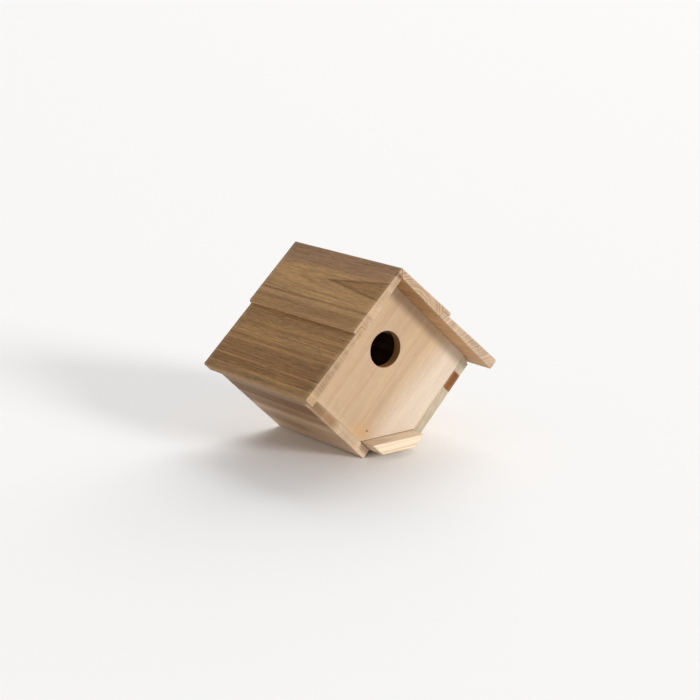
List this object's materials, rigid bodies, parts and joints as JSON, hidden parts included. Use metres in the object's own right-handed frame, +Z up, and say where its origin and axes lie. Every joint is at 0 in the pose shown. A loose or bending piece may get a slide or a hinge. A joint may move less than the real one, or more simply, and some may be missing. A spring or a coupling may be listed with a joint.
{
  "type": "birdhouse",
  "caption": "Diamond nest box of wood: lapped roof boards at a right angle, round entrance hole, V of walls and a slide-out floor with a lip.",
  "frame": {"origin": "under the middle of the roof, at the level of the wall tips that the box stands on", "axes": "+Z up, ridge along Y, entrance hole faces -Y, +X to the right seen from the front"},
  "size_m": [0.1824, 0.144, 0.1504],
  "materials": {
    "roof_cedar": "planed, unfinished cedar siding",
    "wall_cedar": "planed, unfinished cedar with a brown heartwood band",
    "panel_cedar": "planed, unfinished cedar",
    "floor_cedar": "planed, unfinished cedar",
    "galvanised_steel": "dull galvanised"
  },
  "bodies": {
    "house": {"upper_left_roof_board": "roof_cedar", "lower_left_roof_board": "roof_cedar", "upper_right_roof_board": "roof_cedar", "lower_right_roof_board": "roof_cedar", "left_wall": "wall_cedar", "right_wall": "wall_cedar", "front_panel": "panel_cedar", "back_panel": "panel_cedar", "left_roof_brads": "galvanised_steel", "right_roof_brads": "galvanised_steel", "left_wall_brads": "galvanised_steel", "right_wall_brads": "galvanised_steel"},
    "floor_board": {"slide_out_floor": "floor_cedar"}
  },
  "joints": [
    {"name": "floor_slide", "type": "slide", "parent": "house", "child": "floor_board", "axis": [0, -1, 0], "range_m": [0, 0.1]}
  ]
}
